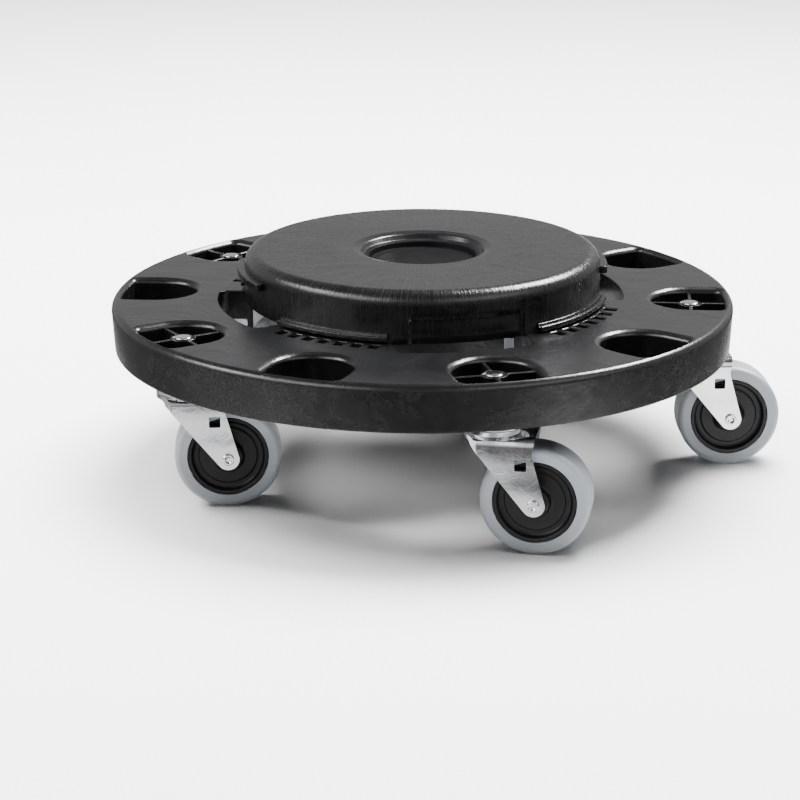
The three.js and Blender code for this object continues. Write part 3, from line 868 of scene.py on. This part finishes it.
class Finish(Nodes):
    """A material whose patterns are placed by the surface, never by the camera."""

    def __init__(self, name, **settings):
        self.material = bpy.data.materials.new(name)
        self.material.use_nodes = True
        super().__init__(self.material.node_tree)
        self.shader = self.tree.nodes["Principled BSDF"]
        for socket, value in settings.items():
            self.shader.inputs[socket.replace("_", " ")].default_value = value
        self.place = self.node("ShaderNodeTexCoord").outputs["Object"]

    def set(self, socket, value):
        self.put(self.shader.inputs[socket], value)

    def noise(self, scale, detail=3.0, roughness=0.5, distortion=0.0, place=None):
        node = self.node("ShaderNodeTexNoise")
        self.put(node.inputs["Vector"], place or self.place)
        node.inputs["Scale"].default_value = scale
        node.inputs["Detail"].default_value = detail
        node.inputs["Roughness"].default_value = roughness
        node.inputs["Distortion"].default_value = distortion
        return node.outputs[0]

    def blend(self, factor, a, b):
        node = self.node("ShaderNodeMix", data_type="RGBA")
        self.put(node.inputs[0], factor)
        self.put(node.inputs[6], (*a, 1) if isinstance(a, tuple) else a)
        self.put(node.inputs[7], (*b, 1) if isinstance(b, tuple) else b)
        return node.outputs[2]

    def vary(self, pattern, tints, roughness, rough_pattern=None):
        """A colour and a roughness that differ a little from place to place."""
        self.set("Base Color", self.blend(pattern, *tints))
        self.set("Roughness", self.range(rough_pattern or pattern, 0.3, 0.7, *roughness))

    def bump(self, *layers):
        """Stacks (height, depth) layers."""
        normal = None
        for height, depth in layers:
            node = self.node("ShaderNodeBump")
            node.inputs["Strength"].default_value = 1
            node.inputs["Distance"].default_value = depth
            self.put(node.inputs["Height"], height)
            if normal is not None:
                self.put(node.inputs["Normal"], normal)
            normal = node.outputs[0]
        self.set("Normal", normal)


def deck_finish():
    """Black polyethylene: fine radial streaks on the drum, lighter flow marks on the skirt."""
    f = Finish("deck_polyethylene", IOR=PLASTIC_IOR)
    x, y, height = f.split(f.place)
    outward_place = f.joined(x, y)
    radius = f.vector("LENGTH", outward_place)
    bearing = f.vector("NORMALIZE", outward_place)
    along = f.joined(z=f.times(f.plus(radius, height), 22.0))

    def drawn_out(fineness, stretch=along):
        """Places whose pattern is fineness times round the axis and drawn out away from it."""
        return f.vector("ADD", f.vector("SCALE", bearing, scale=fineness), stretch)

    # Where the surface is
    drum_height = (DECK_TOP + 4) * MM + GROUND
    on_drum = f.range(height, drum_height - 0.002, drum_height + 0.002)
    off_drum = f.minus(1.0, on_drum)
    skirt_height = (DECK_TOP - 4) * MM + GROUND
    on_skirt = f.range(height, skirt_height + 0.003, skirt_height - 0.003)
    on_skirt = f.times(on_skirt, f.range(radius, (DECK_R - 9) * MM, (DECK_R - 6) * MM))
    off_dish = f.range(radius, DISH_LIP_R * MM, (DISH_LIP_R + 22) * MM)
    in_dish = f.times(on_drum, f.range(radius, (DISH_STEP_R + 1) * MM, (DISH_STEP_R - 2) * MM))
    below_top = f.range(height, (DRUM_TOP - 14) * MM + GROUND, (DRUM_TOP - 3) * MM + GROUND, 0.12, 1.0)
    brushed = f.times(on_drum, off_dish)

    # Patterns
    streaks = f.noise(1.0, 4, 0.55, 0.6, drawn_out(95.0))
    wide = f.noise(1.0, 3, 0.55, 0.4, drawn_out(22.0))
    flow = f.noise(14.0, 6, 0.6, 2.6)
    swirl = f.noise(34.0, 7, 0.68, 3.4)
    grain = f.noise(900.0, 3, 0.6)
    speck = f.range(f.noise(620.0, 5, 0.75), 0.46, 0.72)
    patch = f.range(f.noise(9.0, 3, 0.5), 0.38, 0.7)
    arc_place = drawn_out(3.0, f.vector("SCALE", along, scale=7.0))
    arcs = f.range(f.noise(1.0, 5, 0.7, 1.2, arc_place), 0.5, 0.75)

    # How much of the paler scuffs shows: most on the skirt, faint arcs on the flat ring
    marks = f.times(f.times(patch, speck), 0.55)
    marks = f.plus(marks, f.times(f.range(swirl, 0.45, 0.85), 0.22))
    scuffed = f.plus(f.times(marks, on_skirt), f.times(f.times(arcs, 0.03), off_drum))

    base = f.blend(f.range(flow, 0.3, 0.75), *PLASTIC)
    base = f.blend(f.times(brushed, f.range(streaks, 0.5, 0.75)), base, PLASTIC_STREAK)
    f.set("Base Color", f.blend(scuffed, base, PLASTIC_SCUFF))
    streaked = f.times(f.minus(streaks, 0.5), f.times(brushed, 0.22))
    rough = f.plus(f.range(flow, 0.2, 0.85, 0.24, 0.285), streaked)
    rough = f.plus(rough, f.times(scuffed, 0.14))
    f.set("Roughness", f.plus(rough, f.times(in_dish, 0.25)))
    f.set("Specular IOR Level", f.minus(0.5, f.times(in_dish, 0.47)))
    drum_streaks = f.times(brushed, f.plus(streaks, f.times(wide, 0.6)))
    drum_streaks = f.times(drum_streaks, below_top)
    waves = f.times(off_drum, f.noise(30.0, 3, 0.5))
    f.bump((flow, 0.0006), (drum_streaks, 0.00022), (waves, 0.0004), (grain, 0.00006))
    return f.material


def hub_finish():
    f = Finish("hub_nylon", IOR=PLASTIC_IOR, Specular_IOR_Level=0.3)
    f.vary(f.noise(60.0, 4, 0.6), NYLON, (0.36, 0.46))
    f.bump((f.noise(700.0, 3, 0.6), 0.00005))
    return f.material


def tread_finish():
    f = Finish("tread_grey", IOR=PLASTIC_IOR)
    f.vary(f.noise(45.0, 4, 0.6, 0.5), RUBBER, (0.42, 0.54))
    f.bump((f.noise(500.0, 3, 0.6), 0.00004))
    return f.material


def zinc_finish():
    """Bright zinc on sheet that isn't quite flat."""
    f = Finish("bright_zinc", Metallic=1.0)
    cloud = f.noise(70.0, 5, 0.6, 0.8)
    fine = f.noise(420.0, 4, 0.65)
    f.vary(cloud, ZINC_TINTS, (0.11, 0.17), fine)
    f.bump((f.noise(24.0, 1, 0.3), 0.0022), (cloud, 0.00012), (fine, 0.000012))
    return f.material


def bearing_finish():
    f = Finish("bearing_steel", Metallic=1.0)
    f.vary(f.noise(300.0, 4, 0.6), BEARING_TINTS, (0.16, 0.26))
    return f.material


def floor_finish():
    f = Finish("studio_floor")
    f.vary(f.noise(3.0, 2, 0.5), FLOOR_TINTS, (0.6, 0.65))
    return f.material


# ---- Assembly ----
HUB_FINISH = hub_finish()
TREAD_FINISH = tread_finish()
ZINC = zinc_finish()
BEARING = bearing_finish()


def to_metres(obj):
    obj.data.transform(Matrix.Scale(MM, 4))


def wear(obj, finish):
    obj.data.materials.clear()
    obj.data.materials.append(finish)


def dress(obj, finish, slot, body, *nodes):
    wear(obj, finish)
    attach(obj, body)
    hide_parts(*nodes)


deck = build_deck()
smoothed(deck)
deck.data.transform(Matrix.Translation((0, 0, GROUND / MM)))
to_metres(deck)
dress(deck, deck_finish(), "deck_plastic", "deck", "deck", "drum")


def upper_balls():
    top = POCKET_SEAT - GAP - RACE_PLATE - GAP
    return ball_ring(UPPER_BALL_RING, UPPER_BALL_R, top - UPPER_BALL_R)


def lower_balls():
    return ball_ring(LOWER_BALL_RING, LOWER_BALL_R, CROWN_TOP - STEEL - LOWER_RACE_DROP + LOWER_BALL_R)


# piece: (builder, finish, slot, what it rides on: its caster, its wheel or, with None, the deck)
PIECES = {
    "king_bolt": (king_bolt, ZINC, "zinc_steel", None),
    "king_nut": (king_nut, ZINC, "zinc_steel", None),
    "top_race": (top_race, ZINC, "zinc_steel", None),
    "upper_balls": (upper_balls, BEARING, "bearing_steel", "caster"),
    "lower_balls": (lower_balls, BEARING, "bearing_steel", "caster"),
    "fork": (fork, ZINC, "zinc_steel", "caster"),
    "axle": (axle, ZINC, "zinc_steel", "caster"),
    "axle_nut": (axle_nut, ZINC, "zinc_steel", "caster"),
    "hub": (hub, HUB_FINISH, "hub_plastic", "wheel"),
    "tread": (tread, TREAD_FINISH, "tread_rubber", "wheel"),
}

joints = {joint["name"]: Vector(joint["pos_m"]) for joint in frame["joints"]}
for piece, (build, finish, slot, part) in PIECES.items():
    made = build()
    if isinstance(made, bmesh.types.BMesh):
        made = as_object(piece, made)
    smoothed(made)
    to_metres(made)
    for caster in CASTERS:
        swivel = joints[caster + "_swivel"]
        roll = joints[caster + "_roll"]
        copy = bpy.data.objects.new(f"{caster}_{piece}_shown", made.data.copy())
        bpy.context.scene.collection.objects.link(copy)
        trail = Matrix.Rotation(math.atan2(roll.y - swivel.y, roll.x - swivel.x), 4, "Z")
        copy.matrix_world = Matrix.Translation((swivel.x, swivel.y, GROUND)) @ trail
        dress(copy, finish, slot, f"{caster}_{part}" if part else "deck", f"{caster}_{piece}")
    bpy.data.objects.remove(made)

for caster in CASTERS:
    wear(frame["nodes"][caster + "_bush"], BEARING)


# ---- Studio (metres) ----
def disc(name, radius, top, thickness, finish):
    """A twelve-sided disc that belongs to the stage."""
    rim = sweep(radius, 0, 330, 30)
    obj = as_object(name, loft([(top - thickness, rim), (top, rim)]))
    obj.data.materials.append(finish)
    return obj


def painted_floor_reflection_finish():
    """A painted reflection of the floor: painted light close to the wheels, painted shadow below the deck,
    and dark in front.
    """
    f = Finish("floor_painted_reflection", Base_Color=(0, 0, 0, 1), Emission_Color=(1, 1, 1, 1))
    x, y, _ = f.split(f.place)
    aside = f.calc("ABSOLUTE", x)
    # painted light: the lit floor that glossy parts mirror near the wheels, brightest towards the right
    near = f.times(f.range(y, -0.47, -0.36, 0.0, 1.3), f.range(aside, 0.44, 0.3))
    near = f.times(near, f.range(x, 0.1, 0.3, 1.0, 2.2))
    far = f.range(aside, 0.12, 0.6, 0.02, 0.16)
    # painted shadow: the card goes dark where the deck shades the floor
    outside_painted_deck_shadow = f.range(f.vector("LENGTH", f.joined(x, y)), 0.19, 0.28, 0.08, 1.0)
    f.set("Emission Strength", f.times(f.plus(near, far), outside_painted_deck_shadow))
    return f.material


# Matt parts see the floor; glossy parts see the card just below it, whose glow is a painted reflection of
# the lit floor and of the deck's shadow on it
floor = disc("floor", 9, GROUND, 0.02, floor_finish())
floor.visible_glossy = False
card = disc("painted_reflection_card", 2, GROUND - 0.025, 0.005, painted_floor_reflection_finish())
card.visible_camera = False
card.visible_diffuse = False
card.visible_shadow = False


LAMPS_FACE = Vector((0, 0, -0.05))


def softbox(name, azimuth, elevation, distance, size, power, shines=True):
    """A lamp facing the dolly. It either shines in glossy parts or lights matt ones."""
    lamp = bpy.data.lights.new(name, "AREA")
    lamp.shape = "RECTANGLE"
    lamp.size, lamp.size_y = size
    lamp.energy = power
    obj = bpy.data.objects.new(name, lamp)
    bpy.context.scene.collection.objects.link(obj)
    a, e = math.radians(azimuth), math.radians(elevation)
    away = Vector((math.cos(e) * math.cos(a), math.cos(e) * math.sin(a), math.sin(e)))
    obj.location = LAMPS_FACE + away * distance
    obj.rotation_euler = away.to_track_quat("Z", "Y").to_euler()
    obj.visible_diffuse = not shines
    obj.visible_glossy = shines


softbox("key", 32, 49, 2.2, (0.8, 0.8), 210)
softbox("left", 190, 30, 2.3, (1.0, 0.5), 18)
softbox("left_wash", 165, 48, 2.3, (1.6, 1.2), 120, shines=False)
softbox("back_wash", 66, 66, 2.5, (1.8, 1.8), 400, shines=False)
softbox("top_wash", 0, 90, 2.5, (3, 3), 90, shines=False)


AIR_GLOW = 0.1
LEFT_PANEL = 6.0
RIGHT_PANEL = 2.2


def studio_air():
    """What glossy parts mirror: pale walls all round, with brighter panels at the front left and right."""
    world = bpy.data.worlds.new("studio")
    bpy.context.scene.world = world
    world.use_nodes = True
    world.cycles_visibility.diffuse = False
    f = Nodes(world.node_tree)
    x, y, z = f.split(f.node("ShaderNodeTexCoord").outputs["Generated"])
    wall = f.times(f.range(y, -0.2, 0.5, 0.36, 0.42), f.range(z, 0.75, 0.3))
    belt = f.times(f.range(z, 0.16, 0.42), f.range(z, 0.74, 0.56))
    left = f.times(f.range(x, -0.2, -0.6), f.range(y, 0.15, -0.05))
    right = f.times(f.range(x, 0.05, 0.4), f.range(y, -0.1, -0.4))
    panels = f.times(belt, f.plus(f.times(left, LEFT_PANEL), f.times(right, RIGHT_PANEL)))
    background = world.node_tree.nodes["Background"]
    f.put(background.inputs["Strength"], f.plus(AIR_GLOW, f.plus(wall, panels)))
    background.inputs["Color"].default_value = (1, 1, 1, 1)


studio_air()

# ---- Camera ----
ELEVATION = math.radians(16.67)
DISTANCE = 1.8158
AIM = Vector((0, 0, 80 * MM + GROUND))
lens = bpy.data.cameras.new("camera")
lens.sensor_width = 36
lens.lens = 108.1
lens.shift_x = -0.028
lens.shift_y = -0.0584
camera = bpy.data.objects.new("camera", lens)
bpy.context.scene.collection.objects.link(camera)
camera.location = AIM + DISTANCE * Vector((0, -math.cos(ELEVATION), math.sin(ELEVATION)))
camera.rotation_euler = (math.pi / 2 - ELEVATION, 0, 0)
bpy.context.scene.camera = camera
